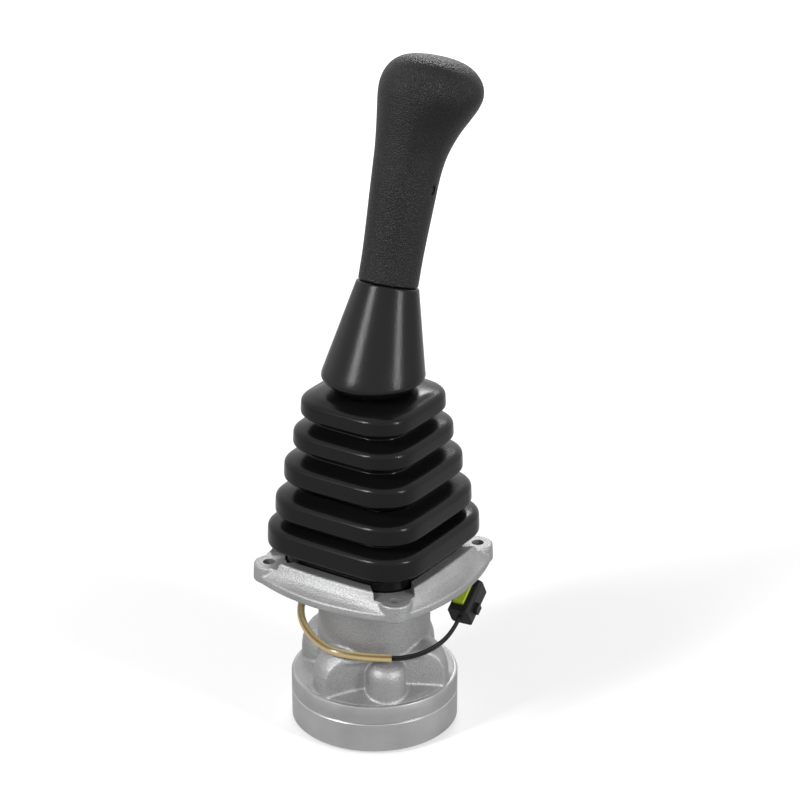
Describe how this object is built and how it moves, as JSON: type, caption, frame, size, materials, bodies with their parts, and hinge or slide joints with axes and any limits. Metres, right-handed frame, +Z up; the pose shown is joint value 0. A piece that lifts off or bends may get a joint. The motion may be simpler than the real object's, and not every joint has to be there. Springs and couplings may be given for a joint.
{
  "type": "hydraulic pilot joystick valve",
  "caption": "Hydraulic pilot control joystick: cast casing with square flange and round port plate, bellows boot, bent lever with grip, and wiring lead.",
  "frame": {"origin": "centre of the flange's mounting face (its underside) on the neutral axis of the lever", "axes": "+Z up along the neutral axis towards the grip, +Y the way the bent lever leans, +X the way the grip's head bulges"},
  "size_m": [0.118, 0.1283, 0.3849],
  "materials": {
    "cast_aluminium": "bead-blasted casting",
    "machined_steel": "turned and ground",
    "dark_steel": "black oxide",
    "spring_steel": "oiled",
    "bronze": "turned",
    "black_rubber": "satin",
    "seal_rubber": "matt",
    "black_plastic": "satin",
    "grip_plastic": "fine grain",
    "sleeve_plastic": "translucent",
    "wire_black": "satin",
    "lock_green": "satin"
  },
  "bodies": {
    "valve": {"casing": "cast_aluminium", "casing_neck": "cast_aluminium", "casing_flange": "cast_aluminium", "port_plate": "cast_aluminium", "port_plate_screws": "dark_steel", "screw_washers": "machined_steel", "seam_seal": "seal_rubber", "locating_pins": "machined_steel", "port_plugs": "black_rubber", "spool_bushes": "machined_steel", "guide_plugs": "bronze", "rod_seals": "seal_rubber", "retainer_plate": "machined_steel", "joint_base": "machined_steel", "boot": "black_rubber", "harness_grommet": "black_rubber", "harness_sleeve": "sleeve_plastic", "harness_wires": "wire_black", "connector_housing": "black_plastic", "connector_lock": "lock_green", "return_spring_px": "spring_steel", "return_spring_py": "spring_steel", "return_spring_nx": "spring_steel", "return_spring_ny": "spring_steel"},
    "joint_cross_body": {"joint_cross": "machined_steel"},
    "lever": {"joint_head": "machined_steel", "cam_plate": "dark_steel", "adjusting_nut": "machined_steel", "lock_nut": "machined_steel", "lever_socket": "machined_steel", "lever_rod": "machined_steel", "boot_collar": "machined_steel", "cone_cover": "black_plastic", "grip": "grip_plastic", "grip_screw": "dark_steel"},
    "rod_px": {"push_rod_px": "machined_steel", "spring_seat_px": "machined_steel"},
    "rod_py": {"push_rod_py": "machined_steel", "spring_seat_py": "machined_steel"},
    "rod_nx": {"push_rod_nx": "machined_steel", "spring_seat_nx": "machined_steel"},
    "rod_ny": {"push_rod_ny": "machined_steel", "spring_seat_ny": "machined_steel"},
    "spool_body_px": {"spool_px": "machined_steel"},
    "spool_body_py": {"spool_py": "machined_steel"},
    "spool_body_nx": {"spool_nx": "machined_steel"},
    "spool_body_ny": {"spool_ny": "machined_steel"}
  },
  "joints": [
    {"name": "tilt_x", "type": "hinge", "parent": "valve", "child": "joint_cross_body", "pos_m": [0, 0, 0.022], "axis": [1, 0, 0], "range_deg": [-19, 19], "stiffness_Nm_per_rad": 5, "deforming": ["boot"]},
    {"name": "tilt_y", "type": "hinge", "parent": "joint_cross_body", "child": "lever", "pos_m": [0, 0, 0.022], "axis": [0, 1, 0], "range_deg": [-25, 25], "stiffness_Nm_per_rad": 5, "deforming": ["boot"]},
    {"name": "rod_slide_px", "type": "slide", "parent": "valve", "child": "rod_px", "axis": [0, 0, 1], "range_m": [-0.0092, 0.0092], "deforming": ["return_spring_px"]},
    {"name": "rod_slide_py", "type": "slide", "parent": "valve", "child": "rod_py", "axis": [0, 0, 1], "range_m": [-0.0067, 0.0067], "deforming": ["return_spring_py"]},
    {"name": "rod_slide_nx", "type": "slide", "parent": "valve", "child": "rod_nx", "axis": [0, 0, 1], "range_m": [-0.0092, 0.0092], "deforming": ["return_spring_nx"]},
    {"name": "rod_slide_ny", "type": "slide", "parent": "valve", "child": "rod_ny", "axis": [0, 0, 1], "range_m": [-0.0067, 0.0067], "deforming": ["return_spring_ny"]},
    {"name": "spool_slide_px", "type": "slide", "parent": "valve", "child": "spool_body_px", "axis": [0, 0, 1], "range_m": [-0.0013, 0.0013]},
    {"name": "spool_slide_py", "type": "slide", "parent": "valve", "child": "spool_body_py", "axis": [0, 0, 1], "range_m": [-0.0013, 0.0013]},
    {"name": "spool_slide_nx", "type": "slide", "parent": "valve", "child": "spool_body_nx", "axis": [0, 0, 1], "range_m": [-0.0013, 0.0013]},
    {"name": "spool_slide_ny", "type": "slide", "parent": "valve", "child": "spool_body_ny", "axis": [0, 0, 1], "range_m": [-0.0013, 0.0013]}
  ],
  "couplings": [
    {"joint": "rod_slide_px", "follows": "tilt_y", "m_per_rad": -0.0208},
    {"joint": "rod_slide_py", "follows": "tilt_x", "m_per_rad": 0.0199},
    {"joint": "rod_slide_nx", "follows": "tilt_y", "m_per_rad": 0.0208},
    {"joint": "rod_slide_ny", "follows": "tilt_x", "m_per_rad": -0.0199},
    {"joint": "spool_slide_px", "follows": "tilt_y", "m_per_rad": -0.0028},
    {"joint": "spool_slide_py", "follows": "tilt_x", "m_per_rad": 0.0036},
    {"joint": "spool_slide_nx", "follows": "tilt_y", "m_per_rad": 0.0028},
    {"joint": "spool_slide_ny", "follows": "tilt_x", "m_per_rad": -0.0036}
  ]
}
